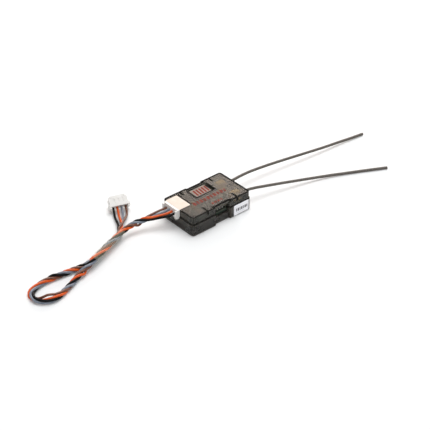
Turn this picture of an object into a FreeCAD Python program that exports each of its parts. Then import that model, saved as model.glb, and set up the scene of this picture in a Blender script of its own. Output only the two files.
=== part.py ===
import FreeCAD, Part
import math
import os

# A small radio-control receiver: a snap-together see-through case with a circuit board
# inside, two coaxial aerials at one end and a four-wire plug-in lead at the other.
# Millimetres. The origin is under the middle of the case, on the surface that it lies on.
# +X points to the aerial end, +Y to the side with the window, +Z up.

V = FreeCAD.Vector
UP = V(0, 0, 1)

# Case
case_length = 35.0
case_width = 21.8
case_height = 9.9
shell_wall = 1.0           # side walls and floor of the bottom shell
top_wall = 1.2             # side walls of the top shell
top_plate = 0.9
rim_step = 0.4             # the top shell stands this far inside the bottom shell
corner_radius = 1.8
foot_taper = 0.4
top_chamfer = 0.25
waist_start_x = -3.7       # shallow grip recess in both long sides
waist_end_x = 4.7
waist_depth = 0.9
waist_step = 0.1           # the top shell's waist stands this far inside the bottom shell's
waist_corner = 0.35
fit_gap = 0.1              # clearance between pieces that slide together

# Snap fit
lip_depth = 1.0
lip_thickness = 0.6
snap_start_x = 5.6
snap_length = 2.2
snap_height = 0.25
snap_drop = 0.55           # the snap beads lie this far under the split
slit_distance = 8.75       # from the middle of the waist to a slit that lets the sides flex
slit_width = 0.5
slit_reach = 3.8
slit_drop = 2.1
peg_radius = 0.8
rib_length = 4.2
rib_thickness = 0.6
rib_drop = 1.6
rib_end_gap = 0.7          # from the case's end to the rib between the aerial fittings

# Circuit board
board_thickness = 1.0
board_side_gap = 0.25
post_size = 2.6

# Four-way connector, 2.0 mm pitch
pitch = 2.0
ways = 4
header_end_margin = 1.95   # from an outer way to the header's side face
header_height = 4.8
header_length = 6.3
header_side_wall = 0.55
header_face_wall = 0.4
header_back_wall = 2.1
header_corner = 0.25
header_relief = 0.5        # the notch over the pins' bends
header_slot_gap = 0.3      # the dark gap behind the header in the top plate
header_case_margin = 2.35  # from the case's far side to the header
pin_size = 0.5
pin_hole = 0.7
pin_tip = 3.2
pin_tail = 0.9
plug_corner = 0.2
plug_flange_length = 1.2
plug_flange_corner = 0.25
plug_end_gap = 0.2         # between the plug's nose and the bottom of the header
plug_ear_length = 0.9
plug_ear_width = 1.0
plug_ear_step = 0.3
plug_nose_step = 0.6
plug_nose_drop = 0.45
plug_nose_length = 1.1
plug_groove = 0.6
plug_groove_depth = 0.25
plug_groove_gap = 0.4
plug_pit_length = 0.5       # a small pit at each corner of the nose
plug_pit_width = 0.8
plug_pit_depth = 0.5
latch_start = 2.2          # from the wire face to the latch windows under the plug
latch_length = 1.6
latch_width = 0.7
contact_size = 1.3
contact_hole = 0.7
contact_back = 0.4
contact_end_gap = 0.4
contact_start = 1.4        # from the wire face of the plug to the back of a contact

# Accessory port in the near waist
port_height = 2.9
port_length = 4.7
port_wall = 0.5
port_back_wall = 1.0
port_corner = 0.25
port_key = 1.2             # the slot in the port's roof
port_pitch = 1.5
port_ways = 3
port_window_margin = 0.5
port_side_gap = 0.25

# Window with its badge plate in the top
window_length = 11.2
window_width = 6.4
window_case_margin = 3.1   # from the case's far side to the window
window_corner = 0.3
badge_thickness = 0.4
badge_depth = 1.25         # from the case top down to the badge
cup_wall = 0.7
cup_floor = 0.6

# Aerials
coax_diameter = 1.37
coax_hole = 1.8
coax_side_margin = 5.8     # from the case's side to an aerial
coax_rise = 0.3            # the aerials leave this far above the split
coax_straight = 3.1        # straight run of an aerial outside the case
rf_block_length = 4.4
rf_block_width = 2.8
rf_block_chamfer = 0.25
rf_top_gap = 0.4
rf_wall_gap = 0.4
rf_barrel_diameter = 2.1
rf_barrel_length = 0.8
rf_flange = 0.5

# Label on the near side
label_waist_gap = 2.2
label_end_gap = 1.6
label_bottom_z = 0.5
label_top_gap = 0.2
label_corner = 0.4
label_thickness = 0.12

# Shield can over the radio stage
can_length = 8.6
can_width = 5.5
can_height = 1.7
can_sheet = 0.2
can_corner = 0.6
can_vent = 0.8
can_vent_step = 2.15
can_offset_x = 2.9         # from the middle of the waist
can_port_gap = 0.95        # from the port's pins
radio_chip_size = 4.0
radio_chip_height = 0.8

# Chip and crystal under the board
chip_size = 4.6
chip_height = 1.0
chip_stand_off = 0.1
chip_leads_per_side = 6
chip_lead_step = 0.7
chip_lead_width = 0.25
chip_lead_thickness = 0.15
chip_lead_reach = 0.8
chip_port_gap = 2.0        # from the port's pins
crystal_length = 5.0
crystal_width = 1.9
crystal_height = 1.2
crystal_base = 0.3
crystal_rim = 0.2
crystal_gap = 0.6

# Power parts in a column behind the header
column_gap = 3.4           # from the header to the middle of the column
regulator_length = 3.6
regulator_width = 2.6
regulator_height = 1.4
regulator_tab_length = 2.2
regulator_leg_width = 0.5
regulator_leg_pitch = 1.15
regulator_reach = 0.9      # the tab and the legs stand out this far
regulator_metal = 0.3
regulator_side = 2.4       # from the middle of the header
tantalum_length = 3.2
tantalum_width = 1.6
tantalum_height = 1.5
tantalum_end = 0.2
tantalum_end_height = 0.8
tantalum_gap = 0.7         # from the regulator's legs
part_stand_off = 0.1

# Chips and lamp
capacitor_length = 1.6
capacitor_width = 0.8
capacitor_height = 0.8
capacitor_step = 1.3
capacitors_per_row = 4
resistor_length = 1.5
resistor_width = 0.8
resistor_height = 0.45
resistor_step = 1.2
resistor_row_step = 2.0
resistor_gap = 0.6
lamp_end_distance = 5.5
lamp_length = 1.6
lamp_width = 1.2
lamp_base = 0.5
lamp_lens = 0.9

# Lead
wire_diameter = 1.0
bundle_diameter = 2.5      # four wires twisted together
bundle_offset = 0.75       # each wire's distance from the middle of the bundle
wire_stub = 4.0            # straight run at each end of a fanned-out wire
far_plug_at = V(-29.6, 27.4, 2.35)
far_plug_heading = 71.7    # degrees from +X
far_plug_lift = 40.0       # the mating end points up by this angle
sleeve_start = V(-42.6, 9.5, 2.85)
sleeve_end = V(-64.0, 1.3, 2.85)
sleeve_leg_side = 0.95     # the two legs lie this far either side of the sleeve's middle
sleeve_leg_lift = 0.95
sleeve_bore = 3.1
sleeve_wall = 0.3

# Derived places
case_end_x = case_length / 2
top_end_x = case_end_x - rim_step
waist_y = case_width / 2 - waist_depth
waist_center_x = (waist_start_x + waist_end_x) / 2
lip_inset = shell_wall + fit_gap
inner_inset = lip_inset + lip_thickness
board_top_z = case_height - header_height      # the header is flush with the case top
board_bottom_z = board_top_z - board_thickness
split_z = board_top_z + fit_gap + lip_depth    # the lip under the split holds the board down
peg_x = case_end_x - shell_wall - post_size / 2
peg_y = case_width / 2 - shell_wall - post_size / 2
header_width = (ways - 1) * pitch + 2 * header_end_margin
header_center_y = case_width / 2 - header_case_margin - header_width / 2
header_mouth_x = -top_end_x
header_back_x = header_mouth_x + header_length
header_pin_x = header_back_x + pin_size
header_middle_z = board_top_z + header_height / 2
plug_face_x = header_mouth_x - plug_flange_length
plug_body_width = header_width - 2 * (header_side_wall + fit_gap)
plug_body_height = header_height - 2 * (header_face_wall + fit_gap)
plug_flange_width = header_width - fit_gap
plug_flange_height = header_height - 2 * fit_gap
plug_length = plug_flange_length + header_length - header_back_wall - plug_end_gap
port_window_start_x = waist_start_x + port_window_margin
port_window_end_x = waist_end_x - port_window_margin
port_width = port_window_end_x - port_window_start_x - 2 * port_side_gap
port_mouth_y = -(waist_y - shell_wall - fit_gap)
port_pin_y = port_mouth_y + port_length + pin_size
port_pin_edge_y = port_pin_y + pin_size / 2
window_center_y = case_width / 2 - window_case_margin - window_width / 2
badge_floor_z = case_height - badge_depth - badge_thickness
coax_y = case_width / 2 - coax_side_margin
coax_z = split_z + coax_rise
rf_block_end_x = case_end_x - inner_inset - rf_wall_gap - rf_barrel_length
rf_block_height = case_height - top_plate - rf_top_gap - board_top_z
can_center_x = waist_center_x + can_offset_x
can_center_y = port_pin_edge_y + can_port_gap + can_width / 2
column_x = header_back_x + column_gap
regulator_y = header_center_y + regulator_side
tantalum_y = (regulator_y - regulator_width / 2 - regulator_reach - tantalum_gap
              - tantalum_width / 2)

# The lead's route, from the receiver's fan-out to the far plug's fan-out
lead_route = [
    (-29.6, 7.6, 5.7),
    (-34.2, 9.3, 4.9),
    (-39.4, 9.5, 4.15),
    (-44.15, 7.9, 3.85),
    (-49.75, 5.9, 3.8),
    (-55.15, 3.6, 3.85),
    (-60.45, 1.65, 3.8),
    (-64.9, 0.0, 3.5),
    (-69.3, -0.7, 2.4),
    (-73.6, -1.8, 1.6),
    (-77.8, -3.9, 1.4),
    (-82.0, -5.6, 1.35),
    (-86.2, -7.3, 1.4),
    (-90.6, -7.9, 1.35),
    (-94.4, -6.2, 1.4),
    (-96.2, -2.5, 1.35),
    (-95.2, 1.5, 1.4),
    (-91.6, 3.8, 1.35),
    (-87.0, 4.6, 1.4),
    (-81.8, 4.3, 1.35),
    (-76.4, 3.7, 1.4),
    (-71.4, 3.0, 1.4),
    (-66.4, 1.8, 1.7),
    (-61.6, 3.2, 1.85),
    (-56.2, 5.2, 1.85),
    (-50.8, 7.5, 1.85),
    (-45.65, 9.35, 1.85),
    (-41.4, 11.05, 1.7),
    (-39.2, 14.3, 1.4),
]

antenna_left_route = [
    (rf_block_end_x + rf_barrel_length, coax_y, coax_z),
    (case_end_x + coax_straight, coax_y, coax_z),
    (30.2, 6.6, 5.65),
    (41.8, 6.0, 4.95),
    (54.2, 4.7, 4.2),
    (67.0, 3.3, 3.3),
    (78.4, 2.3, 2.35),
    (88.2, 1.8, 1.6),
    (96.7, 1.1, 1.0),
    (104.3, 0.4, 0.75),
]

antenna_right_route = [
    (rf_block_end_x + rf_barrel_length, -coax_y, coax_z),
    (case_end_x + coax_straight, -coax_y, coax_z),
    (30.2, -7.0, 5.05),
    (40.1, -9.3, 3.7),
    (49.6, -11.8, 2.5),
    (59.0, -14.5, 1.45),
    (66.5, -17.2, 0.9),
    (73.4, -20.5, 0.75),
    (82.1, -24.9, 0.75),
    (90.2, -29.2, 0.75),
]


# Basic shapes

def box(x0, x1, y0, y1, z0, z1):
    return Part.makeBox(x1 - x0, y1 - y0, z1 - z0, V(x0, y0, z0))


def centered_box(center, length, width, height):
    """A box around a point in plan, standing on the point's height."""
    return Part.makeBox(length, width, height, center - V(length / 2, width / 2, 0))


def rounded_outline(corners, z):
    """A closed outline through (x, y, radius) corners, with a tangent arc at each."""
    points = [V(x, y, z) for x, y, _ in corners]
    count = len(points)
    starts, middles, ends = [], [], []
    for i, (_, _, radius) in enumerate(corners):
        here = points[i]
        back = (points[i - 1] - here).normalize()
        ahead = (points[(i + 1) % count] - here).normalize()
        half = back.getAngle(ahead) / 2
        reach = radius / math.tan(half)
        inward = (back + ahead).normalize()
        starts.append(here + back * reach)
        ends.append(here + ahead * reach)
        middles.append(here + inward * (radius / math.sin(half) - radius))
    edges = []
    for i in range(count):
        edges.append(Part.Arc(starts[i], middles[i], ends[i]).toShape())
        edges.append(Part.makeLine(ends[i], starts[(i + 1) % count]))
    return Part.Wire(edges)


def prism(corners, z0, z1):
    face = Part.Face(rounded_outline(corners, z0))
    return face.extrude(V(0, 0, z1 - z0))


def tapered_prism(low_corners, z0, high_corners, z1):
    outlines = [rounded_outline(low_corners, z0), rounded_outline(high_corners, z1)]
    return Part.makeLoft(outlines, True, True)


def rectangle(center_x, center_y, length, width, radius):
    x = length / 2
    y = width / 2
    signs = ((1, -1), (1, 1), (-1, 1), (-1, -1))
    return [(center_x + sx * x, center_y + sy * y, radius) for sx, sy in signs]


def case_outline(inset, waist_inset):
    """The case seen from above, moved inward, with the waist recess in both long sides."""
    x = case_length / 2 - inset
    y = case_width / 2 - inset
    radius = max(corner_radius - inset, waist_corner)
    recess_y = waist_y - waist_inset
    bend = min(waist_corner, 0.4 * (y - recess_y))
    left = waist_start_x - waist_inset
    right = waist_end_x + waist_inset
    far_side = [(right, y, bend), (right, recess_y, bend), (left, recess_y, bend), (left, y, bend)]
    near_side = [(px, -py, r) for px, py, r in reversed(far_side)]
    return ([(x, -y, radius), (x, y, radius)] + far_side
            + [(-x, y, radius), (-x, -y, radius)] + near_side)


def tube(points, diameter, name):
    """A round tube along straight runs joined by tangent arcs as large as the runs allow."""
    nodes = [V(*p) for p in points]
    arcs = []
    radii = []
    for i in range(1, len(nodes) - 1):
        back = nodes[i - 1] - nodes[i]
        ahead = nodes[i + 1] - nodes[i]
        reach = 0.45 * min(back.Length, ahead.Length)
        back.normalize()
        ahead.normalize()
        half = back.getAngle(ahead) / 2
        radius = reach * math.tan(half)
        middle = nodes[i] + (back + ahead).normalize() * (radius / math.sin(half) - radius)
        arcs.append((nodes[i] + back * reach, middle, nodes[i] + ahead * reach))
        radii.append(radius)
    edges = []
    start = nodes[0]
    for first, middle, last in arcs:
        edges.append(Part.LineSegment(start, first).toShape())
        edges.append(Part.Arc(first, middle, last).toShape())
        start = last
    edges.append(Part.LineSegment(start, nodes[-1]).toShape())
    path = Part.Wire(edges)
    ring = Part.Wire(Part.makeCircle(diameter / 2, nodes[0], nodes[1] - nodes[0]))
    solid = path.makePipeShell([ring], True, False)
    section = math.pi * diameter ** 2 / 4
    print("%s: length %.1f, smallest radius %.1f, volume ratio %.4f, valid %s" % (
        name, path.Length, min(radii), solid.Volume / (section * path.Length), solid.isValid()))
    return solid


# Case shells

def bottom_shell():
    outline = case_outline(0, 0)
    foot = tapered_prism(case_outline(foot_taper, foot_taper), 0, outline, foot_taper)
    body = foot.fuse(prism(outline, foot_taper, split_z))
    body = body.cut(prism(case_outline(shell_wall, shell_wall), shell_wall, split_z + 1))
    for x_side in (-1, 1):
        for y_side in (-1, 1):
            body = body.fuse(board_post(x_side, y_side))
    body = body.cut(connector_opening())
    body = body.cut(port_opening())
    for side in (-1, 1):
        body = body.cut(aerial_hole(side))
    for bead in snap_beads(fit_gap / 2):
        body = body.cut(bead)
    return body.cut(side_label()).removeSplitter()


def board_post(x_side, y_side):
    """A square post in a corner of the bottom shell that carries the circuit board."""
    x = case_length / 2 - shell_wall
    y = case_width / 2 - shell_wall
    post = Part.makeBox(post_size, post_size, board_bottom_z - shell_wall / 2,
                        V(x - post_size, y - post_size, shell_wall / 2))
    post = post.common(prism(rectangle(0, 0, case_length - shell_wall, case_width - shell_wall,
                                       corner_radius - shell_wall / 2), 0, split_z))
    if x_side < 0:
        post = post.mirror(V(), V(1, 0, 0))
    if y_side < 0:
        post = post.mirror(V(), V(0, 1, 0))
    return post


def top_shell():
    outline = case_outline(rim_step, waist_step)
    shoulder_z = case_height - top_chamfer
    crown = tapered_prism(outline, shoulder_z,
                          case_outline(rim_step + top_chamfer, waist_step + top_chamfer),
                          case_height)
    body = prism(outline, split_z, shoulder_z).fuse(crown)
    hollow = case_outline(rim_step + top_wall, inner_inset)
    body = body.cut(prism(hollow, split_z - 1, case_height - top_plate))
    body = body.fuse(snap_lip())
    body = body.fuse(snap_beads(0))
    body = body.fuse([badge_cup(), corner_pegs(), middle_rib()])
    body = body.cut(connector_opening())
    body = body.cut(port_opening())
    for side in (-1, 1):
        body = body.cut(aerial_hole(side))
    for x_side in (-1, 1):
        for y_side in (-1, 1):
            body = body.cut(flex_slit(x_side, y_side))
    return body.cut(window_hollow()).removeSplitter()


def snap_lip():
    """The ring under the top shell that slides into the bottom shell and holds the board."""
    ring = prism(case_outline(lip_inset, lip_inset), split_z - lip_depth, split_z)
    middle = case_outline(inner_inset, inner_inset)
    return ring.cut(prism(middle, split_z - lip_depth - 1, split_z + 1))


def snap_beads(gap):
    """Four rounded beads on the lip; the same shapes, a little larger, cut their grooves."""
    y = case_width / 2 - lip_inset
    radius = snap_height + gap
    beads = []
    for x_side in (-1, 1):
        for y_side in (-1, 1):
            start = x_side * snap_start_x
            end = x_side * (snap_start_x + snap_length)
            low = min(start, end) - gap
            bead = Part.makeCylinder(radius, snap_length + 2 * gap,
                                     V(low, y_side * y, split_z - snap_drop), V(1, 0, 0))
            beads.append(bead)
    return beads


def flex_slit(x_side, y_side):
    """A saw cut from the top plate over the shoulder and down the side wall."""
    y_edge = case_width / 2 - rim_step
    x = waist_center_x + x_side * slit_distance
    y_inner = y_edge - slit_reach
    slit = box(x - slit_width / 2, x + slit_width / 2, y_inner, y_edge + 1,
               case_height - slit_drop, case_height + 1)
    if y_side < 0:
        slit = slit.mirror(V(), V(0, 1, 0))
    return slit


def connector_opening():
    """The cut-out in one end and the top for the four-way header and its plug."""
    half = header_width / 2 + fit_gap
    return box(-case_end_x - 1, header_back_x + header_slot_gap,
               header_center_y - half, header_center_y + half,
               board_top_z - fit_gap, case_height + 1)


def port_opening():
    """The window for the accessory port in the near waist, through both shells."""
    return box(port_window_start_x, port_window_end_x, -waist_y - 1, -waist_y + inner_inset + 1,
               board_bottom_z + fit_gap, board_top_z + port_height + fit_gap)


def aerial_hole(side):
    """A round hole on the split line, open downward in the top shell for assembly."""
    reach = case_end_x + 1
    start = case_end_x - inner_inset - 1
    hole = Part.makeCylinder(coax_hole / 2, reach - start, V(start, side * coax_y, coax_z), V(1, 0, 0))
    slot = box(start, reach, side * coax_y - coax_hole / 2, side * coax_y + coax_hole / 2,
               split_z, coax_z)
    return hole.fuse(slot)


def badge_cup():
    """The solid under the window that becomes a shallow cup when the window is cut."""
    corners = rectangle(waist_center_x, window_center_y, window_length + 2 * cup_wall,
                        window_width + 2 * cup_wall, cup_wall)
    return prism(corners, badge_floor_z - cup_floor, case_height - top_plate)


def window_hollow():
    corners = rectangle(waist_center_x, window_center_y, window_length, window_width,
                        window_corner)
    return prism(corners, badge_floor_z, case_height + 1)


def badge_plate():
    corners = rectangle(waist_center_x, window_center_y, window_length - 2 * fit_gap,
                        window_width - 2 * fit_gap, window_corner)
    return prism(corners, badge_floor_z, badge_floor_z + badge_thickness)


def corner_pegs():
    """Pegs under the top plate that hold the board down at the three free corners."""
    foot_z = board_top_z + fit_gap
    height = case_height - top_plate / 2 - foot_z
    pegs = []
    for x, y in ((peg_x, peg_y), (peg_x, -peg_y), (-peg_x, -peg_y)):
        pegs.append(Part.makeCylinder(peg_radius, height, V(x, y, foot_z)))
    return Part.makeCompound(pegs)


def middle_rib():
    """The rib under the top plate between the aerial fittings."""
    end_x = case_end_x - rib_end_gap
    ceiling = case_height - top_plate / 2
    return box(end_x - rib_length, end_x, -rib_thickness / 2, rib_thickness / 2,
               ceiling - rib_drop, ceiling)


def side_label():
    """The thin label in its shallow recess on the near side of the bottom shell."""
    y = -case_width / 2
    face = box(waist_end_x + label_waist_gap, case_end_x - label_end_gap,
               y, y + label_thickness, label_bottom_z, split_z - label_top_gap)
    corners = [e for e in face.Edges if abs(e.Curve.Direction.y) > 0.9]
    return face.makeFillet(label_corner, corners)


# Circuit board and what is on it

def circuit_board():
    inset = shell_wall + board_side_gap
    board = prism(case_outline(inset, inset), board_bottom_z, board_top_z)
    for x, y in header_pin_places() + port_pin_places():
        board = board.cut(centered_box(V(x, y, board_bottom_z - 1), pin_hole, pin_hole,
                                       board_thickness + 2))
    return board


def header_pin_places():
    return [(header_pin_x, header_center_y + way_offset(i)) for i in range(ways)]


def port_pin_places():
    middle = (port_ways - 1) / 2
    return [(waist_center_x + (i - middle) * port_pitch, port_pin_y) for i in range(port_ways)]


def way_offset(index):
    """Distance of a way from the middle of the four-way connector."""
    return ((ways - 1) / 2 - index) * pitch


def bent_pin(tip, bend, foot):
    """A square pin that runs level from its tip to the bend and then down to its foot."""
    along = (bend - tip).normalize()
    half = pin_size / 2
    side = UP.cross(along)
    corners = [tip + UP * half, bend + along * half + UP * half, foot + along * half,
               foot - along * half, bend - along * half - UP * half, tip - UP * half]
    outline = Part.makePolygon([c - side * half for c in corners + corners[:1]])
    return Part.Face(outline).extrude(side * pin_size)


def header_pins():
    pins = []
    for x, y in header_pin_places():
        tip = V(header_back_x - header_back_wall - pin_tip, y, header_middle_z)
        bend = V(x, y, header_middle_z)
        pins.append(bent_pin(tip, bend, V(x, y, board_bottom_z - pin_tail)))
    return Part.makeCompound(pins)


def signal_header():
    """Side-entry header: a rectangular mouth for the plug and a wall that holds the pins."""
    y = header_center_y
    top_z = board_top_z + header_height
    body = prism(rectangle((header_mouth_x + header_back_x) / 2, y, header_length,
                           header_width, header_corner), board_top_z, top_z)
    half = header_width / 2 - header_side_wall
    mouth = box(header_mouth_x - 1, header_back_x - header_back_wall, y - half, y + half,
                board_top_z + header_face_wall, top_z - header_face_wall)
    notch = box(header_back_x - header_relief, header_back_x + 1, y - half, y + half,
                board_top_z - 1, board_top_z + header_relief)
    return body.cut([mouth, notch, header_pins()])


def accessory_port():
    """A small socket that faces out through the waist window, with a key slot in its roof."""
    x = waist_center_x
    back_y = port_mouth_y + port_length
    top_z = board_top_z + port_height
    body = prism(rectangle(x, (port_mouth_y + back_y) / 2, port_width, port_length, port_corner),
                 board_top_z, top_z)
    half = port_width / 2 - port_wall
    cavity_end = back_y - port_back_wall
    mouth = box(x - half, x + half, port_mouth_y - 1, cavity_end,
                board_top_z + port_wall, top_z - port_wall)
    key = box(x - port_key / 2, x + port_key / 2, port_mouth_y - 1, cavity_end,
              board_top_z + port_height / 2, top_z + 1)
    return body.cut([mouth, key, accessory_port_pins()])


def accessory_port_pins():
    pins = []
    z = board_top_z + port_height / 2
    for x, y in port_pin_places():
        tip = V(x, port_mouth_y + port_wall, z)
        pins.append(bent_pin(tip, V(x, y, z), V(x, y, board_bottom_z - pin_tail)))
    return Part.makeCompound(pins)


def shield_can():
    """A drawn tin lid over the radio stage, with a grid of vent slots."""
    x = can_center_x
    y = can_center_y
    top_z = board_top_z + can_height
    can = prism(rectangle(x, y, can_length, can_width, can_corner), board_top_z, top_z)
    inside = rectangle(x, y, can_length - 2 * can_sheet, can_width - 2 * can_sheet,
                       can_corner - can_sheet)
    cuts = [prism(inside, board_top_z - 1, top_z - can_sheet)]
    for column in (-1, 0, 1):
        for row in (-1, 1):
            spot = V(x + column * can_vent_step, y + row * can_vent_step / 2,
                     top_z - 2 * can_sheet)
            cuts.append(centered_box(spot, can_vent, can_vent, 1))
    return can.cut(cuts)


def radio_chip():
    """A flat leadless chip under the shield can."""
    return centered_box(V(can_center_x, can_center_y, board_top_z), radio_chip_size,
                        radio_chip_size, radio_chip_height)


def gull_wing_lead():
    """One chip lead along +X: out of the body, down, and out again as a foot on z = 0."""
    knee_x = chip_lead_reach / 2
    shoulder_z = chip_height / 2
    thick = chip_lead_thickness
    y = -chip_lead_width / 2
    profile = [V(-thick, y, shoulder_z), V(knee_x, y, shoulder_z), V(knee_x, y, 0),
               V(chip_lead_reach, y, 0), V(chip_lead_reach, y, thick),
               V(knee_x + thick, y, thick), V(knee_x + thick, y, shoulder_z + thick),
               V(-thick, y, shoulder_z + thick)]
    return Part.Face(Part.makePolygon(profile + profile[:1])).extrude(V(0, chip_lead_width, 0))


def under_board(shape, x):
    """A part built on z = 0, turned over and hung under the board beside the port's pins."""
    y = port_pin_edge_y + chip_port_gap + chip_lead_reach + chip_size / 2
    shape.rotate(V(), V(1, 0, 0), 180)
    shape.translate(V(x, y, board_bottom_z))
    return shape


def microcontroller():
    """A square chip with gull-wing leads on its four sides, under the board."""
    body = centered_box(V(0, 0, chip_stand_off), chip_size, chip_size, chip_height)
    middle = (chip_leads_per_side - 1) / 2
    leads = []
    for quarter in range(4):
        for i in range(chip_leads_per_side):
            lead = gull_wing_lead()
            lead.translate(V(chip_size / 2, (i - middle) * chip_lead_step, 0))
            lead.rotate(V(), UP, 90 * quarter)
            leads.append(lead)
    return under_board(body.fuse(leads), waist_center_x - chip_size / 2)


def crystal():
    """A metal crystal can with rounded ends on a low base, beside the chip."""
    base = centered_box(V(), crystal_length, crystal_width, crystal_base)
    lid_width = crystal_width - 2 * crystal_rim
    lid = rectangle(0, 0, crystal_length - 2 * crystal_rim, lid_width, 0.45 * lid_width)
    can = base.fuse(prism(lid, crystal_base, crystal_height))
    x = waist_center_x + chip_lead_reach + crystal_gap + crystal_length / 2
    return under_board(can, x)


def voltage_regulator():
    """A three-leg regulator with its heat tab."""
    center = V(column_x, regulator_y, board_top_z)
    side = (regulator_width + regulator_reach) / 2
    body = centered_box(center + UP * part_stand_off, regulator_length, regulator_width,
                        regulator_height)
    tab = centered_box(center + V(0, side, 0), regulator_tab_length, regulator_reach,
                       regulator_metal)
    legs = []
    for i in (-1, 0, 1):
        legs.append(centered_box(center + V(i * regulator_leg_pitch, -side, 0),
                                 regulator_leg_width, regulator_reach, regulator_metal))
    return body.fuse([tab] + legs)


def tantalum_capacitor():
    center = V(column_x, tantalum_y, board_top_z)
    body = centered_box(center + UP * part_stand_off, tantalum_length, tantalum_width,
                        tantalum_height)
    core = centered_box(center, tantalum_length + 2 * tantalum_end,
                        tantalum_width - 2 * tantalum_end, tantalum_end_height)
    return body.fuse(core)


def chip_row(places, length, width, height):
    """Small two-ended chips, each a separate solid soldered flat on the board."""
    chips = [centered_box(V(x, y, board_top_z), length, width, height) for x, y in places]
    return Part.makeCompound(chips)


def chip_capacitors():
    """One row beside the tantalum capacitor and one between the aerial fittings."""
    first_y = tantalum_y - tantalum_width / 2 - capacitor_step
    fittings_x = rf_block_end_x - capacitor_length / 2
    middle = (capacitors_per_row - 1) / 2
    places = []
    for i in range(capacitors_per_row):
        places.append((column_x, first_y - i * capacitor_step))
        places.append((fittings_x, (i - middle) * capacitor_step))
    return chip_row(places, capacitor_length, capacitor_width, capacitor_height)


def chip_resistors():
    """Two rows of two between the accessory port and the aerial fittings."""
    first_x = waist_center_x + port_width / 2 + resistor_gap + resistor_width / 2
    first_y = port_mouth_y + resistor_gap + resistor_length
    places = []
    for column in (0, 1):
        for row in (0, 1):
            places.append((first_x + column * resistor_step, first_y + row * resistor_row_step))
    return chip_row(places, resistor_width, resistor_length, resistor_height)


def status_led():
    """A small top-facing lamp with a round lens."""
    center = V(case_end_x - lamp_end_distance, 0, board_top_z)
    base = centered_box(center, lamp_length, lamp_width, lamp_base)
    lens = Part.makeCylinder(lamp_lens / 2, 2 * lamp_base, center)
    return base.fuse(lens)


def antenna_plug(side):
    """A right-angle coaxial plug: flange on the board, chamfered block and crimp barrel."""
    y = side * coax_y
    middle = V(rf_block_end_x - rf_block_length / 2, y, board_top_z)
    flange = centered_box(middle, rf_block_length, rf_block_width + 2 * rf_flange, rf_flange)
    block = centered_box(middle, rf_block_length, rf_block_width, rf_block_height)
    rim = [e for e in block.Edges if e.BoundBox.ZMin > board_top_z + rf_flange]
    block = block.makeChamfer(rf_block_chamfer, rim)
    root_x = rf_block_end_x - rf_block_chamfer - rf_flange
    barrel = Part.makeCylinder(rf_barrel_diameter / 2,
                               rf_block_end_x + rf_barrel_length - root_x,
                               V(root_x, y, coax_z), V(1, 0, 0))
    return flange.fuse([block, barrel]).removeSplitter()


# Lead connectors

def plug_frame():
    """Where the receiver's plug sits: its wire face, mating straight into the header."""
    return FreeCAD.Placement(V(plug_face_x, header_center_y, header_middle_z),
                             FreeCAD.Rotation())


def far_plug_frame():
    turn = FreeCAD.Rotation(UP, far_plug_heading)
    lift = FreeCAD.Rotation(V(0, 1, 0), -far_plug_lift)
    return FreeCAD.Placement(far_plug_at, turn.multiply(lift))


def plug_housing():
    """The crimp plug in its own frame: the wire face at x = 0 and the mating end at +X."""
    half = plug_body_height / 2
    nose_x = plug_length - plug_nose_length
    body = prism(rectangle(nose_x / 2, 0, nose_x, plug_body_width, plug_corner), -half, half)
    nose = centered_box(V((plug_length + plug_flange_length) / 2, 0, plug_nose_drop - half),
                        plug_length - plug_flange_length,
                        plug_body_width - 2 * plug_nose_step,
                        plug_body_height - 2 * plug_nose_drop)
    flange = centered_box(V(plug_flange_length / 2, 0, -plug_flange_height / 2),
                          plug_flange_length, plug_flange_width, plug_flange_height)
    along = [e for e in flange.Edges if abs(e.Curve.Direction.x) > 0.9]
    flange = flange.makeFillet(plug_flange_corner, along)
    return body.fuse([nose, flange] + plug_ears()).cut(plug_cuts()).removeSplitter()


def plug_ears():
    """Two lugs on the wire face that fingers pull the plug out by."""
    side = (plug_flange_width - plug_ear_width) / 2
    bottom_z = plug_ear_step - plug_flange_height / 2
    ears = []
    for y in (-side, side):
        ears.append(centered_box(V(0, y, bottom_z), 2 * plug_ear_length, plug_ear_width,
                                 plug_flange_height - 2 * plug_ear_step))
    return ears


def plug_cuts():
    """Contact tunnels, wire entries, latch windows, grooves between the ways, nose pits."""
    half = plug_body_height / 2
    tunnel = contact_size + 2 * fit_gap
    entry = wire_diameter + 2 * fit_gap
    tunnel_length = plug_length + 1 - contact_start
    cuts = []
    for i in range(ways):
        y = way_offset(i)
        cuts.append(centered_box(V(contact_start + tunnel_length / 2, y, -tunnel / 2),
                                 tunnel_length, tunnel, tunnel))
        cuts.append(centered_box(V(0, y, -entry / 2), 2 * contact_start + 1, entry, entry))
        cuts.append(centered_box(V(latch_start + latch_length / 2, y, -half - 1), latch_length,
                                 latch_width, half + 1))
    groove_start = plug_flange_length + plug_groove_gap
    groove_end = plug_length - plug_nose_length - plug_groove_gap
    for i in range(ways - 1):
        y = way_offset(i) - pitch / 2
        cuts.append(box(groove_start, groove_end, y - plug_groove / 2, y + plug_groove / 2,
                        half - plug_groove_depth, half + 1))
    nose_top_z = half - plug_nose_drop
    pit_x = plug_length - plug_nose_length + plug_pit_length / 2
    pit_y = (plug_body_width - plug_pit_width) / 2 - plug_nose_step
    for side in (-1, 1):
        cuts.append(centered_box(V(pit_x, side * pit_y, nose_top_z - plug_pit_depth),
                                 plug_pit_length, plug_pit_width, plug_pit_depth + 1))
    return cuts


def plug_contacts():
    """Four crimped box contacts, open at the mating end."""
    half = contact_size / 2
    bore = contact_hole / 2
    end_x = plug_length - contact_end_gap
    contacts = []
    for i in range(ways):
        y = way_offset(i)
        sheath = box(contact_start, end_x, y - half, y + half, -half, half)
        socket = box(contact_start + contact_back, end_x + 1, y - bore, y + bore, -bore, bore)
        contacts.append(sheath.cut(socket))
    return Part.makeCompound(contacts)


def placed(shape, frame):
    moved = shape.copy()
    moved.Placement = frame
    return moved


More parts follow.
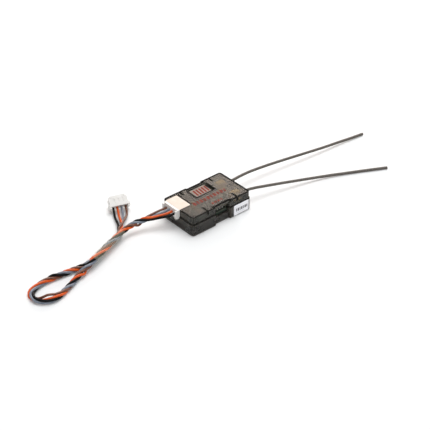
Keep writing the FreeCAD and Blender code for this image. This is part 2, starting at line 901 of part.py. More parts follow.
# Lead

def lead_sleeve():
    """A clear oval tube that holds the two legs of the folded lead one above the other."""
    along = (sleeve_end - sleeve_start).normalize()
    across = along.cross(UP).normalize()
    tilt = across * sleeve_leg_side - UP * sleeve_leg_lift
    length = (sleeve_end - sleeve_start).Length

    def oval(radius):
        out = tilt.cross(along).normalize() * radius
        tip = V(tilt).normalize() * radius
        first, second = sleeve_start + tilt, sleeve_start - tilt
        edges = [Part.makeLine(second + out, first + out),
                 Part.Arc(first + out, first + tip, first - out).toShape(),
                 Part.makeLine(first - out, second - out),
                 Part.Arc(second - out, second - tip, second + out).toShape()]
        return Part.Face(Part.Wire(edges)).extrude(along * length)

    return oval(sleeve_bore / 2 + sleeve_wall).cut(oval(sleeve_bore / 2))


def bundle_seat(end, inward, side, height):
    """Where one of the four wires meets the end of the twisted bundle."""
    across = inward.cross(UP).normalize()
    upward = across.cross(inward).normalize()
    return end + (across * side + upward * height) * bundle_offset


def fan_wire(frame, way, bundle_end, bundle_next, seat_place, name):
    """One wire from its crimp contact to its place at the end of the twisted bundle."""
    inward = (bundle_next - bundle_end).normalize()
    contact = frame.multVec(V(contact_start, way_offset(way), 0))
    outside = frame.multVec(V(contact_start - wire_stub, way_offset(way), 0))
    seat = bundle_seat(bundle_end, inward, *seat_place)
    before = seat - inward * wire_stub
    return tube([contact, outside, before, seat], wire_diameter, name)


wire_ways = {"brown": 0, "grey": 1, "orange": 2, "black": 3}
near_seats = {"brown": (1, 0), "grey": (0, -1), "orange": (0, 1), "black": (-1, 0)}
far_seats = {"brown": (-1, 0), "grey": (0, -1), "orange": (0, 1), "black": (1, 0)}


def build():
    near_end = V(*lead_route[0])
    near_next = V(*lead_route[1])
    far_end = V(*lead_route[-1])
    far_next = V(*lead_route[-2])
    housing = plug_housing()
    contacts = plug_contacts()
    nodes = {
        "bottom_shell": bottom_shell(),
        "top_shell": top_shell(),
        "badge_plate": badge_plate(),
        "side_label": side_label(),
        "circuit_board": circuit_board(),
        "signal_header": signal_header(),
        "header_pins": header_pins(),
        "accessory_port": accessory_port(),
        "accessory_port_pins": accessory_port_pins(),
        "shield_can": shield_can(),
        "radio_chip": radio_chip(),
        "microcontroller": microcontroller(),
        "crystal": crystal(),
        "voltage_regulator": voltage_regulator(),
        "tantalum_capacitor": tantalum_capacitor(),
        "chip_capacitors": chip_capacitors(),
        "chip_resistors": chip_resistors(),
        "status_led": status_led(),
        "antenna_plug_left": antenna_plug(1),
        "antenna_plug_right": antenna_plug(-1),
        "antenna_left": tube(antenna_left_route, coax_diameter, "antenna_left"),
        "antenna_right": tube(antenna_right_route, coax_diameter, "antenna_right"),
        "receiver_plug": placed(housing, plug_frame()),
        "receiver_plug_contacts": placed(contacts, plug_frame()),
        "far_plug": placed(housing, far_plug_frame()),
        "far_plug_contacts": placed(contacts, far_plug_frame()),
        "lead_sleeve": lead_sleeve(),
        "lead_bundle": tube(lead_route, bundle_diameter, "lead_bundle"),
    }
    for color, way in wire_ways.items():
        name = color + "_wire_receiver_end"
        nodes[name] = fan_wire(plug_frame(), way, near_end, near_next, near_seats[color], name)
        name = color + "_wire_far_end"
        far_way = ways - 1 - way
        nodes[name] = fan_wire(far_plug_frame(), far_way, far_end, far_next,
                               far_seats[color], name)
    return nodes


os.makedirs("parts", exist_ok=True)
for node, shape in build().items():
    shape.exportStep("parts/" + node + ".step")
    print(node, "solids", len(shape.Solids), "volume %.2f" % shape.Volume, "valid", shape.isValid())
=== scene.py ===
import math

import bpy
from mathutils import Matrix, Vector


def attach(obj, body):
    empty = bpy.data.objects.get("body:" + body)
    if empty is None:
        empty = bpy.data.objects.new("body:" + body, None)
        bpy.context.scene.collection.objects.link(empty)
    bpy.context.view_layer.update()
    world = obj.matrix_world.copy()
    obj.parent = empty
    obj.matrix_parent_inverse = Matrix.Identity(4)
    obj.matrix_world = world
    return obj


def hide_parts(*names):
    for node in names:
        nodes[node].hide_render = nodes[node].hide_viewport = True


# A small radio-control receiver: a smoked see-through case, two coaxial aerials and a twisted
# four-wire lead that is folded double in a clear sleeve. Metres, in the frame of the solid model.

MM = 0.001
UP = Vector((0, 0, 1))

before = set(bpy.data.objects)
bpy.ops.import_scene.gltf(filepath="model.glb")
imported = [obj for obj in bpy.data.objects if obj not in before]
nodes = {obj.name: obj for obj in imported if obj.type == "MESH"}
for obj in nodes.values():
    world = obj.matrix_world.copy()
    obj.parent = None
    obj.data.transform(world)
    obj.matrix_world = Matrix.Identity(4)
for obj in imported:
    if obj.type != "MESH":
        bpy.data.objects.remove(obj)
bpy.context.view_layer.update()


def mm(x, y, z):
    return Vector((x, y, z)) * MM


# Camera
view_target = mm(1.453, -4.022, 0)
toward_camera = Vector((-0.536, -0.619, 0.574)).normalized()
camera_distance = 535.5 * MM


def add_camera():
    data = bpy.data.cameras.new("camera")
    data.sensor_width = 36
    data.lens = 97.8
    data.clip_start = 0.01
    camera = bpy.data.objects.new("camera", data)
    camera.location = view_target + toward_camera * camera_distance
    camera.rotation_euler = (-toward_camera).to_track_quat("-Z", "Y").to_euler()
    bpy.context.collection.objects.link(camera)
    bpy.context.scene.camera = camera


# Cords: the routes of the solid model, in metres
wire_diameter = 1.1 * MM
bundle_radius = 0.79 * MM
coax_diameter = 1.37 * MM
pitch = 2.0 * MM

plug_side = Vector((0, 1, 0))
far_heading = math.radians(71.7)
far_plug_side = Vector((-math.sin(far_heading), math.cos(far_heading), 0))

lead_route = [
    mm(-16.9, 3.6, 7.5),
    mm(-20.9, 3.6, 7.5),
    mm(-25.9, 6.2, 6.35),
    mm(-29.6, 7.6, 5.7),
    mm(-34.2, 9.3, 4.9),
    mm(-39.4, 9.5, 4.15),
    mm(-44.15, 7.9, 3.85),
    mm(-49.75, 5.9, 3.8),
    mm(-55.15, 3.6, 3.85),
    mm(-60.45, 1.65, 3.8),
    mm(-64.9, 0.0, 3.5),
    mm(-69.3, -0.7, 2.4),
    mm(-73.6, -1.8, 1.6),
    mm(-77.8, -3.9, 1.4),
    mm(-82.0, -5.6, 1.35),
    mm(-86.2, -7.3, 1.4),
    mm(-90.6, -7.9, 1.35),
    mm(-94.4, -6.2, 1.4),
    mm(-96.2, -2.5, 1.35),
    mm(-95.2, 1.5, 1.4),
    mm(-91.6, 3.8, 1.35),
    mm(-87.0, 4.6, 1.4),
    mm(-81.8, 4.3, 1.35),
    mm(-76.4, 3.7, 1.4),
    mm(-71.4, 3.0, 1.4),
    mm(-66.4, 1.8, 1.7),
    mm(-61.6, 3.2, 1.85),
    mm(-56.2, 5.2, 1.85),
    mm(-50.8, 7.5, 1.85),
    mm(-45.65, 9.35, 1.85),
    mm(-41.4, 11.05, 1.7),
    mm(-39.2, 14.3, 1.4),
    mm(-36.2, 17.0, 1.5),
    mm(-30.25, 25.5, 1.0),
    mm(-29.26, 28.42, 3.25),
]

antenna_left_route = [
    mm(15.4, 5.1, 6.5),
    mm(20.6, 5.1, 6.5),
    mm(30.2, 6.6, 5.65),
    mm(41.8, 6.0, 4.95),
    mm(54.2, 4.7, 4.2),
    mm(67.0, 3.3, 3.3),
    mm(78.4, 2.3, 2.35),
    mm(88.2, 1.8, 1.6),
    mm(96.7, 1.1, 1.0),
    mm(104.3, 0.4, 0.75),
]

antenna_right_route = [
    mm(15.4, -5.1, 6.5),
    mm(20.6, -5.1, 6.5),
    mm(30.2, -7.0, 5.05),
    mm(40.1, -9.3, 3.7),
    mm(49.6, -11.8, 2.5),
    mm(59.0, -14.5, 1.45),
    mm(66.5, -17.2, 0.9),
    mm(73.4, -20.5, 0.75),
    mm(82.1, -24.9, 0.75),
    mm(90.2, -29.2, 0.75),
]

# Distance along the lead, in millimetres, where one wire after another faces the camera
twist_marks = [11.3, 14.6, 17.6, 20.8, 24.4, 29.2, 33.9, 38.2, 43.4, 49.3, 53.2, 56.9, 60.6,
               64.2, 67.7, 71.0, 74.5, 78.5, 92.0, 99.6, 103.3, 106.8, 110.2, 113.4, 116.6,
               119.9, 124.2, 129.0, 133.8, 138.4, 142.4, 145.8, 149.6]
first_mark_turns = -0.25    # the twist there, in turns after black faces the camera
mark_step = 0.25            # turns from one mark to the next
front_turn = 0.25           # turns from the bundle's left to the side that faces the camera

# Where the wires part toward the plugs, in millimetres: from the receiver plug's end of the
# lead, and back from the far end
near_fan_start = 3.0
near_fan_length = 12.0
far_fan_start = 18.5
far_fan_length = 13.0

# Each wire's place in the plug in pitches toward +Y, its place around the bundle before and
# after the loop in turns, and the distances along the lead between which it changes. Brown and
# orange change places where brown stands away from the loop.
wires = {
    "brown": (1.5, 0.5, 0.25, 74.0, 79.5),
    "grey": (0.5, 0.75, 0.75, 74.0, 90.0),
    "orange": (-0.5, 0.25, 0.5, 77.0, 90.0),
    "black": (-1.5, 0.0, 0.0, 74.0, 90.0),
}

# Where a wire stands away from the bundle: its name, distance along the lead, half the length
# of the bow and its reach, in millimetres
loose_spots = [
    ("brown", 17.2, 6.5, 0.6),
    ("black", 19.5, 4.0, 0.2),
    ("orange", 57.5, 3.5, 0.55),
    ("brown", 79.5, 7.5, 1.6),
    ("orange", 88.5, 7.0, 0.7),
    ("black", 104.3, 4.0, 0.4),
]


def add_curve(name, points):
    """A smooth line with the points as its control points."""
    data = bpy.data.curves.new(name, "CURVE")
    data.dimensions = "3D"
    data.resolution_u = 16
    spline = data.splines.new("NURBS")
    spline.points.add(len(points) - 1)
    for control, place in zip(spline.points, points):
        control.co = (*place, 1)
    spline.order_u = 3
    spline.use_endpoint_u = True
    curve = bpy.data.objects.new(name, data)
    bpy.context.collection.objects.link(curve)
    return curve


def followed_points(curve):
    """The points that the smooth line passes through."""
    mesh = bpy.data.meshes.new_from_object(curve)
    points = [v.co.copy() for v in mesh.vertices]
    bpy.data.meshes.remove(mesh)
    return points


def lengths_along(points):
    total = [0.0]
    for a, b in zip(points, points[1:]):
        total.append(total[-1] + (b - a).length)
    return total


def tangents_along(points):
    last = len(points) - 1
    return [(points[min(i + 1, last)] - points[max(i - 1, 0)]).normalized()
            for i in range(last + 1)]


def smooth_step(x):
    x = min(max(x, 0.0), 1.0)
    return x * x * (3 - 2 * x)


def new_mesh_object(name, vertices, faces, material, smooth=True):
    mesh = bpy.data.meshes.new(name)
    mesh.from_pydata([tuple(v) for v in vertices], [], faces)
    mesh.polygons.foreach_set("use_smooth", [smooth] * len(mesh.polygons))
    mesh.materials.append(material)
    mesh.update()
    thing = bpy.data.objects.new(name, mesh)
    bpy.context.collection.objects.link(thing)
    return thing


def tube_mesh(name, points, radius, material):
    """A closed round tube along the points."""
    sides = 14
    tangents = tangents_along(points)
    across = tangents[0].orthogonal().normalized()
    vertices = []
    for point, tangent in zip(points, tangents):
        across = (across - tangent * across.dot(tangent)).normalized()
        up = tangent.cross(across)
        for k in range(sides):
            angle = 2 * math.pi * k / sides
            vertices.append(point + (across * math.cos(angle) + up * math.sin(angle)) * radius)
    faces = []
    for ring in range(len(points) - 1):
        for k in range(sides):
            a = ring * sides + k
            b = ring * sides + (k + 1) % sides
            faces.append((a, b, b + sides, a + sides))
    faces.append(tuple(reversed(range(sides))))
    faces.append(tuple(range(len(vertices) - sides, len(vertices))))
    return new_mesh_object(name, vertices, faces, material)


def twist_turns(distance):
    """Turns of the bundle at a distance along the lead, in millimetres."""
    if distance <= twist_marks[0]:
        return first_mark_turns
    for i, (start, end) in enumerate(zip(twist_marks, twist_marks[1:])):
        if distance <= end:
            share = (distance - start) / (end - start)
            return first_mark_turns + mark_step * (i + share)
    return first_mark_turns + mark_step * (len(twist_marks) - 1)


def smooth_twist(distance):
    """The twist averaged over a few millimetres, so that it changes evenly."""
    offsets = (-2.0, -1.0, 0.0, 1.0, 2.0)
    return sum(twist_turns(distance + o) for o in offsets) / len(offsets)


def wire_path(name, points, lengths, tangents):
    """One wire of the lead: spread at both plugs and wound round the others between them."""
    way, turns_before, turns_after, swap_start, swap_end = wires[name]
    far_fan = lengths[-1] / MM - far_fan_start
    path = []
    for point, length, tangent in zip(points, lengths, tangents):
        s = length / MM
        swap = smooth_step((s - swap_start) / (swap_end - swap_start))
        turns = turns_before + (turns_after - turns_before) * swap
        angle = 2 * math.pi * (smooth_twist(s) + turns + front_turn)
        front = (toward_camera - tangent * toward_camera.dot(tangent)).normalized()
        left = front.cross(tangent)
        radius = bundle_radius
        for wire, center, half_width, reach in loose_spots:
            if wire == name and abs(s - center) < half_width:
                radius += reach * MM * math.cos(math.pi / 2 * (s - center) / half_width) ** 2
        wound = (left * math.cos(angle) + front * math.sin(angle)) * radius
        near = 1 - smooth_step((s - near_fan_start) / near_fan_length)
        far = smooth_step((s - far_fan) / far_fan_length)
        spread = plug_side * (way * pitch * near) + far_plug_side * (-way * pitch * far)
        place = point + wound * (1 - near - far) + spread
        place.z = max(place.z, wire_diameter / 2)
        path.append(place)
    return path


# Finishes
shadow_cover = 0.35         # how much of a lamp's light one wall of the case stops
full_gloss = 0.5            # the shader's own specular level

# Painted shade, set by the ambient occlusion inside a wall, as a share: at an edge line or inside
# corner it is below the first and the surface is painted dark and opaque, and where the wall is
# clear it is above the second
painted_shade_full_ao = 0.80
painted_shade_none_ao = 0.98
# the colour of the painted shade on edges and inside corners of the clear plastic
painted_edge_shade_color = (0.012, 0.011, 0.010)

# The case top's outline and the painted shade along its rim, in millimetres
top_end_x = 17.1
top_side_y = 10.5
waist_x = 0.5
waist_half_length = 4.2
waist_depth = 1.0
rim = 1.2                   # the rim's width at the +X and +Y sides
rim_shift = 0.35            # narrower by twice this at the other two
rim_fade = 0.25
rim_low_z = 9.6             # the case top is above this


def map_range(tree, value, low, high, start=0.0, end=1.0):
    """A socket's value moved from the range between start and end to that from low to high."""
    node = tree.nodes.new("ShaderNodeMapRange")
    node.inputs["From Min"].default_value = start
    node.inputs["From Max"].default_value = end
    node.inputs["To Min"].default_value = low
    node.inputs["To Max"].default_value = high
    tree.links.new(value, node.inputs["Value"])
    return node.outputs["Result"]


def math_node(tree, operation, *values):
    """The result of one sum on sockets and numbers."""
    node = tree.nodes.new("ShaderNodeMath")
    node.operation = operation
    for socket, value in zip(node.inputs, values):
        if isinstance(value, float):
            socket.default_value = value
        else:
            tree.links.new(value, socket)
    return node.outputs["Value"]


def finish(name, color, second, grain, roughness, bump=0.0, **sockets):
    """A finish whose colour and roughness vary softly over a grain's size, with a fine bump."""
    material = bpy.data.materials.new(name)
    material.use_nodes = True
    tree = material.node_tree
    shader = tree.nodes["Principled BSDF"]
    place = tree.nodes.new("ShaderNodeTexCoord")
    noise = tree.nodes.new("ShaderNodeTexNoise")
    noise.inputs["Scale"].default_value = 1 / grain
    noise.inputs["Detail"].default_value = 5
    noise.inputs["Roughness"].default_value = 0.6
    tree.links.new(place.outputs["Object"], noise.inputs["Vector"])
    blend = tree.nodes.new("ShaderNodeValToRGB")
    blend.color_ramp.elements[0].position = 0.35
    blend.color_ramp.elements[0].color = (*color, 1)
    blend.color_ramp.elements[1].position = 0.65
    blend.color_ramp.elements[1].color = (*second, 1)
    tree.links.new(noise.outputs["Fac"], blend.inputs["Fac"])
    tree.links.new(blend.outputs["Color"], shader.inputs["Base Color"])
    uneven = map_range(tree, noise.outputs["Fac"], roughness * 0.85, roughness * 1.15)
    tree.links.new(uneven, shader.inputs["Roughness"])
    if bump:
        fine = tree.nodes.new("ShaderNodeTexNoise")
        fine.inputs["Scale"].default_value = 4 / grain
        fine.inputs["Detail"].default_value = 3
        tree.links.new(place.outputs["Object"], fine.inputs["Vector"])
        relief = tree.nodes.new("ShaderNodeBump")
        relief.inputs["Strength"].default_value = 0.5
        relief.inputs["Distance"].default_value = bump
        tree.links.new(fine.outputs["Fac"], relief.inputs["Height"])
        tree.links.new(relief.outputs["Normal"], shader.inputs["Normal"])
    for socket, value in sockets.items():
        shader.inputs[socket.replace("_", " ")].default_value = value
    return material


def add_smoke(material, color, density):
    """Fills a clear finish with smoke, so that a longer way through it is darker."""
    tree = material.node_tree
    smoke = tree.nodes.new("ShaderNodeVolumeAbsorption")
    smoke.inputs["Color"].default_value = (*color, 1)
    smoke.inputs["Density"].default_value = density
    tree.links.new(smoke.outputs["Volume"], tree.nodes["Material Output"].inputs["Volume"])


def painted_rim_shade_mask(tree):
    """The mask of painted rim shade: one along the rim of the case top, where its walls stand
    below, and nought elsewhere.
    """
    place = tree.nodes.new("ShaderNodeTexCoord")
    parts = tree.nodes.new("ShaderNodeSeparateXYZ")
    tree.links.new(place.outputs["Object"], parts.inputs["Vector"])
    x, y, z = (parts.outputs[axis] for axis in "XYZ")
    far_x = math_node(tree, "ABSOLUTE", math_node(tree, "ADD", x, rim_shift * MM))
    far_y = math_node(tree, "ABSOLUTE", math_node(tree, "ADD", y, rim_shift * MM))
    end = math_node(tree, "SUBTRACT", far_x, (top_end_x + rim_shift - rim) * MM)
    beside = math_node(tree, "COMPARE", x, waist_x * MM, (waist_half_length + rim) * MM)
    side = math_node(tree, "SUBTRACT", far_y, (top_side_y + rim_shift - rim) * MM)
    side = math_node(tree, "ADD", side, math_node(tree, "MULTIPLY", beside, waist_depth * MM))
    share = map_range(tree, math_node(tree, "MAXIMUM", end, side), 0.0, 1.0, end=rim_fade * MM)
    high = math_node(tree, "GREATER_THAN", z, rim_low_z * MM)
    return math_node(tree, "MULTIPLY", share, high)


def add_painted_edge_shade(material, width, clear):
    """Painted shade: dark opaque lines beside the edges and in the inside corners of a clear
    finish, found by ambient occlusion, for the dark look where light leaves it sideways.

    Lamps light what is inside: a wall stops only a part of their light, shadow_cover.
    """
    tree = material.node_tree
    shader = tree.nodes["Principled BSDF"]
    # Painted shade: where ambient occlusion finds an edge or inside corner, and along the case
    # top's rim, the colour turns dark and the plastic opaque
    depth = tree.nodes.new("ShaderNodeAmbientOcclusion")
    depth.inside = True
    depth.only_local = True
    depth.samples = 8
    depth.inputs["Distance"].default_value = width
    outside_painted_rim = math_node(tree, "SUBTRACT", 1.0, painted_rim_shade_mask(tree))
    unshaded_share = map_range(tree, math_node(tree, "MULTIPLY", depth.outputs["AO"], outside_painted_rim),
                         0.0, 1.0, start=painted_shade_full_ao, end=painted_shade_none_ao)
    color = shader.inputs["Base Color"].links[0].from_socket
    darkened = tree.nodes.new("ShaderNodeMix")
    darkened.data_type = "RGBA"
    darkened.inputs["A"].default_value = (*painted_edge_shade_color, 1)
    tree.links.new(unshaded_share, darkened.inputs["Factor"])
    tree.links.new(color, darkened.inputs["B"])
    tree.links.new(darkened.outputs["Result"], shader.inputs["Base Color"])
    rays = tree.nodes.new("ShaderNodeLightPath")
    cover = map_range(tree, rays.outputs["Is Shadow Ray"], 1.0, shadow_cover)
    tree.links.new(cover, shader.inputs["Alpha"])
    for socket, most in (("Transmission Weight", clear), ("Specular IOR Level", full_gloss)):
        tree.links.new(map_range(tree, unshaded_share, 0.0, most), shader.inputs[socket])


# Painted shade along the case's edges, inside corners and top rim
smoked_case = finish("smoked_case", (0.36, 0.345, 0.30), (0.45, 0.43, 0.375), 6 * MM, 0.23,
                     IOR=1.35)
add_smoke(smoked_case, (0.41, 0.42, 0.36), density=560)
add_painted_edge_shade(smoked_case, width=0.60 * MM, clear=0.95)

# Painted shade along the tray's edges and inside corners
smoked_tray = finish("smoked_tray", (0.36, 0.32, 0.26), (0.44, 0.40, 0.33), 6 * MM, 0.28,
                     IOR=1.38)
add_smoke(smoked_tray, (0.38, 0.35, 0.30), density=1100)
add_painted_edge_shade(smoked_tray, width=0.70 * MM, clear=0.97)

sleeve_clear = finish("sleeve_clear", (0.86, 0.82, 0.58), (0.92, 0.90, 0.72), 3 * MM, 0.25,
                      0.02 * MM, Alpha=0.06, IOR=1.45)
board_green = finish("board_green", (0.030, 0.052, 0.038), (0.055, 0.085, 0.062), 1.2 * MM, 0.35)
header_cream = finish("header_cream", (0.65, 0.55, 0.47), (0.70, 0.605, 0.53), 2.5 * MM, 0.42,
                      0.01 * MM)
plug_white = finish("plug_white", (0.75, 0.74, 0.71), (0.81, 0.80, 0.78), 2 * MM, 0.4, 0.01 * MM)
contact_tin = finish("contact_tin", (0.55, 0.54, 0.52), (0.70, 0.69, 0.67), 0.4 * MM, 0.3,
                     Metallic=1.0)
pin_tin = finish("pin_tin", (0.60, 0.59, 0.57), (0.72, 0.71, 0.68), 0.3 * MM, 0.25, Metallic=1.0)
port_black = finish("port_black", (0.035, 0.042, 0.030), (0.060, 0.070, 0.050), 1 * MM, 0.45)
can_tin = finish("can_tin", (0.48, 0.48, 0.46), (0.62, 0.61, 0.58), 1 * MM, 0.28, Metallic=1.0)
chip_black = finish("chip_black", (0.012, 0.012, 0.013), (0.025, 0.025, 0.027), 0.5 * MM, 0.5,
                    0.01 * MM)
crystal_steel = finish("crystal_steel", (0.55, 0.55, 0.54), (0.66, 0.65, 0.62), 0.6 * MM, 0.25,
                       Metallic=1.0)
capacitor_tan = finish("capacitor_tan", (0.40, 0.27, 0.14), (0.50, 0.36, 0.20), 0.4 * MM, 0.5)
tantalum_yellow = finish("tantalum_yellow", (0.62, 0.40, 0.04), (0.70, 0.50, 0.08), 0.6 * MM, 0.45)
resistor_black = finish("resistor_black", (0.02, 0.02, 0.022), (0.05, 0.05, 0.055), 0.4 * MM, 0.4)
led_lens = finish("led_lens", (0.70, 0.66, 0.50), (0.82, 0.78, 0.62), 0.4 * MM, 0.2)
rf_gold = finish("rf_gold", (0.97, 0.60, 0.10), (1.0, 0.70, 0.16), 0.8 * MM, 0.4, Metallic=0.2)
label_white = finish("label_white", (0.86, 0.86, 0.90), (0.92, 0.92, 0.95), 3 * MM, 0.45,
                     0.004 * MM)
badge_face = finish("badge_face", (0.20, 0.17, 0.145), (0.28, 0.24, 0.205), 1.6 * MM, 0.5,
                    Specular_IOR_Level=0.2)
coax_jacket = finish("coax_jacket", (0.075, 0.066, 0.056), (0.115, 0.102, 0.088), 0.9 * MM, 0.6,
                     0.02 * MM)
wire_finishes = {
    "brown": finish("wire_brown", (0.095, 0.029, 0.012), (0.175, 0.060, 0.029), 1.3 * MM, 0.34,
                    0.015 * MM),
    "grey": finish("wire_grey", (0.13, 0.15, 0.19), (0.22, 0.25, 0.30), 1.3 * MM, 0.34,
                   0.015 * MM),
    "orange": finish("wire_orange", (0.56, 0.065, 0.005), (0.71, 0.112, 0.012), 1.3 * MM, 0.34,
                     0.015 * MM, Specular_IOR_Level=0.3),
    "black": finish("wire_black", (0.001, 0.001, 0.001), (0.004, 0.004, 0.004), 1.3 * MM, 0.5,
                    0.015 * MM, Specular_IOR_Level=0.12),
}
print_red = finish("print_red", (0.14, 0.024, 0.015), (0.21, 0.038, 0.024), 0.7 * MM, 0.6,
                   Specular_IOR_Level=0.12)
stripe_red = finish("stripe_red", (0.13, 0.012, 0.008), (0.27, 0.036, 0.020), 0.7 * MM, 0.6,
                    Specular_IOR_Level=0.12)
# black of the badge plate's ends, and the painted shade of the gap lines on the case top
badge_black_and_gap_shade = finish("badge_black_and_gap_shade", (0.006, 0.005, 0.005), (0.012, 0.010, 0.010), 0.7 * MM, 0.7,
                     Specular_IOR_Level=0.05)
mark_dark = finish("mark_dark", (0.010, 0.010, 0.016), (0.030, 0.030, 0.042), 0.3 * MM, 0.5)

node_finishes = {
    "top_shell": smoked_case,
    "bottom_shell": smoked_tray,
    "badge_plate": badge_face,
    "side_label": label_white,
    "circuit_board": board_green,
    "signal_header": header_cream,
    "receiver_plug": plug_white,
    "far_plug": plug_white,
    "receiver_plug_contacts": contact_tin,
    "far_plug_contacts": contact_tin,
    "header_pins": pin_tin,
    "accessory_port_pins": pin_tin,
    "accessory_port": port_black,
    "shield_can": can_tin,
    "radio_chip": chip_black,
    "microcontroller": chip_black,
    "voltage_regulator": chip_black,
    "crystal": crystal_steel,
    "chip_capacitors": capacitor_tan,
    "tantalum_capacitor": tantalum_yellow,
    "chip_resistors": resistor_black,
    "status_led": led_lens,
    "antenna_plug_left": rf_gold,
    "antenna_plug_right": rf_gold,
    "lead_sleeve": sleeve_clear,
}


def dress_nodes():
    for name, material in node_finishes.items():
        for place in nodes[name].material_slots:
            place.material = material


# Printed marks, in millimetres
case_top_z = 9.9
plate_top_z = 8.65          # the badge plate's
pad_top_z = 9.55            # the badge's raised pad's
label_face_y = -10.9
print_depth = 0.012         # how far a mark reaches above and below its surface
label_print_depth = 0.008


def add_bars(name, bars, depth, out, material):
    """Flat bars that reach by the depth to both sides of a surface.

    Each bar is four corners on the surface, which faces out.
    """
    vertices = []
    faces = []
    for corners in bars:
        first = len(vertices)
        vertices += [c - out * depth * MM for c in corners]
        vertices += [c + out * depth * MM for c in corners]
        faces.append(tuple(first + k for k in (4, 5, 6, 7)))
        faces.append(tuple(first + k for k in (3, 2, 1, 0)))
        for k in range(4):
            j = (k + 1) % 4
            faces.append((first + k, first + j, first + 4 + j, first + 4 + k))
    marks = new_mesh_object(name, vertices, faces, material, smooth=False)
    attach(marks, "root")


def level_bar(x, y, z, width, height, slant=0.0):
    """A bar on a level surface, its foot at x, y and its head moved along X by the slant."""
    return [mm(x, y, z), mm(x + width, y, z), mm(x + width + slant, y + height, z),
            mm(x + slant, y + height, z)]


def bar_row(x, y, z, widths, gap, height, slant):
    """Slanted bars of these widths side by side from x on."""
    bars = []
    for width in widths:
        bars.append(level_bar(x, y, z, width, height, slant))
        x += width + gap
    return bars


def add_top_print():
    """Two broken bands of thick red bars on the case top."""
    long_band = bar_row(-10.0, -3.45, case_top_z, [1.5, 0.9, 1.5, 1.0] * 2 + [1.5, 0.9],
                        gap=0.75, height=2.3, slant=0.3)
    short_band = bar_row(-3.1, -7.7, case_top_z, [1.2, 0.8] * 2, gap=0.7, height=1.4, slant=0.2)
    add_bars("top_print", long_band + short_band, print_depth, UP, print_red)


def add_badge_pad():
    """The badge's raised pad with a plain row of slanted stripes, and the plate's dark ends."""
    middle_z = (plate_top_z + pad_top_z) / 2
    pad = [level_bar(-4.3, 1.65, middle_z, width=8.7, height=5.9)]
    add_bars("badge_pad", pad, pad_top_z - middle_z, UP, badge_face)
    stripes = bar_row(-3.5, 2.2, pad_top_z, [0.95] * 5, gap=0.65, height=4.5, slant=0.45)
    add_bars("badge_stripes", stripes, print_depth, UP, stripe_red)
    ends = [level_bar(4.45, 1.5, plate_top_z, width=1.55, height=6.1),
            level_bar(-4.95, 1.5, plate_top_z, width=0.6, height=6.1)]
    add_bars("badge_ends", ends, print_depth, UP, badge_black_and_gap_shade)


def add_painted_gap_shade():
    """Painted shade: dark lines on the case top where the gaps beside two edges of the window and
    the header's inner end lie in shadow.
    """
    lines = [level_bar(-5.6, 0.8, case_top_z, width=12.1, height=0.55),
             level_bar(-5.6, 1.35, case_top_z, width=0.5, height=6.6),
             level_bar(-10.45, -1.4, case_top_z, width=0.5, height=9.9)]
    add_bars("painted_gap_shade", lines, print_depth, UP, badge_black_and_gap_shade)


def add_label_marks():
    """Small dark ticks on the side label."""
    out = Vector((0, -1, 0))
    foot_z = 2.4
    head_z = 3.9
    gap = 0.4
    ticks = []
    x = 8.3
    for width in (0.5, 0.8, 0.5, 0.8, 0.5, 0.8, 0.5):
        ticks.append([mm(x, label_face_y, foot_z), mm(x + width, label_face_y, foot_z),
                      mm(x + width, label_face_y, head_z), mm(x, label_face_y, head_z)])
        x += width + gap
    add_bars("label_marks", ticks, label_print_depth, out, mark_dark)


# Lead and aerials

def add_lead():
    guide = add_curve("lead_guide", lead_route)
    points = followed_points(guide)
    bpy.data.objects.remove(guide)
    lengths = lengths_along(points)
    tangents = tangents_along(points)
    for name in wires:
        path = wire_path(name, points, lengths, tangents)
        wire = tube_mesh(name + "_wire", path, wire_diameter / 2, wire_finishes[name])
        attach(wire, "root")
        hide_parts(name + "_wire_receiver_end", name + "_wire_far_end", "lead_bundle")


def add_aerial(name, route):
    aerial = add_curve(name + "_cable", route)
    aerial.data.bevel_depth = coax_diameter / 2
    aerial.data.bevel_resolution = 5
    aerial.data.use_fill_caps = True
    aerial.data.materials.append(coax_jacket)
    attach(aerial, "root")
    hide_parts(name)


# Studio
floor_glow = 0.08           # the paper's own light, seen by the camera alone
shadow_reach = 0.18         # metres from the middle: the shadows end before this
white_from = 0.40           # and beyond this the camera sees plain white
sky_strength = 0.40         # for what the sky lights: the camera sees plain white


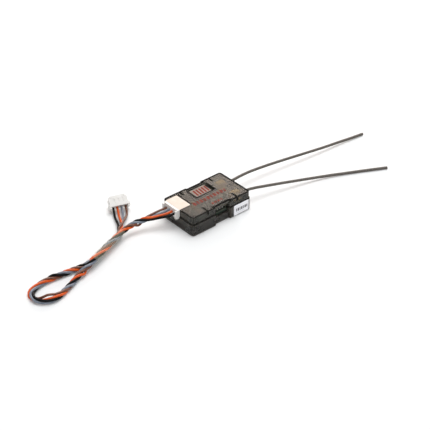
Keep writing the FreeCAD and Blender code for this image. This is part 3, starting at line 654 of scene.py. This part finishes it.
def add_floor():
    half = 2.0
    corners = [(-half, -half, 0), (half, -half, 0), (half, half, 0), (-half, half, 0)]
    paper = finish("floor_paper", (0.755, 0.765, 0.770), (0.775, 0.785, 0.790), 0.3, 0.9)
    tree = paper.node_tree
    rays = tree.nodes.new("ShaderNodeLightPath")
    place = tree.nodes.new("ShaderNodeTexCoord")
    away = tree.nodes.new("ShaderNodeVectorMath")
    away.operation = "LENGTH"
    tree.links.new(place.outputs["Object"], away.inputs[0])
    whiter = map_range(tree, away.outputs["Value"], floor_glow, 1.0, shadow_reach, white_from)
    glow = math_node(tree, "MULTIPLY", rays.outputs["Is Camera Ray"], whiter)
    shader = tree.nodes["Principled BSDF"]
    shader.inputs["Specular IOR Level"].default_value = 0.0
    shader.inputs["Emission Color"].default_value = (1, 1, 1, 1)
    tree.links.new(glow, shader.inputs["Emission Strength"])
    floor = new_mesh_object("floor", corners, [(0, 1, 2, 3)], paper, smooth=False)


def add_softbox(name, place, size, power, color=(1.0, 1.0, 1.0)):
    """A rectangular lamp that shines at the middle of the case's footprint."""
    data = bpy.data.lights.new(name, "AREA")
    data.shape = "RECTANGLE"
    data.size = size[0]
    data.size_y = size[1]
    data.energy = power
    data.color = color
    lamp = bpy.data.objects.new(name, data)
    lamp.location = place
    lamp.rotation_euler = (-Vector(place)).to_track_quat("-Z", "Y").to_euler()
    bpy.context.collection.objects.link(lamp)


def add_world():
    world = bpy.data.worlds.new("studio")
    bpy.context.scene.world = world
    world.use_nodes = True
    tree = world.node_tree
    sky = tree.nodes["Background"]
    sky.inputs["Color"].default_value = (1, 1, 1, 1)
    rays = tree.nodes.new("ShaderNodeLightPath")
    strength = map_range(tree, rays.outputs["Is Camera Ray"], sky_strength, 1.0)
    tree.links.new(strength, sky.inputs["Strength"])


add_camera()
add_lead()
add_aerial("antenna_left", antenna_left_route)
add_aerial("antenna_right", antenna_right_route)
dress_nodes()
add_top_print()
add_badge_pad()
add_painted_gap_shade()
add_label_marks()
add_floor()
add_world()
add_softbox("overhead", place=(0.17, 0.07, 0.9), size=(0.75, 0.75), power=7.4)
add_softbox("back", place=(0.40, 0.48, 0.225), size=(0.7, 0.36), power=3.3,
            color=(1.0, 0.84, 0.75))
add_softbox("front", place=(-0.35, -0.85, 0.45), size=(0.9, 0.6), power=2.0)

scene = bpy.context.scene
scene.view_settings.view_transform = "Standard"
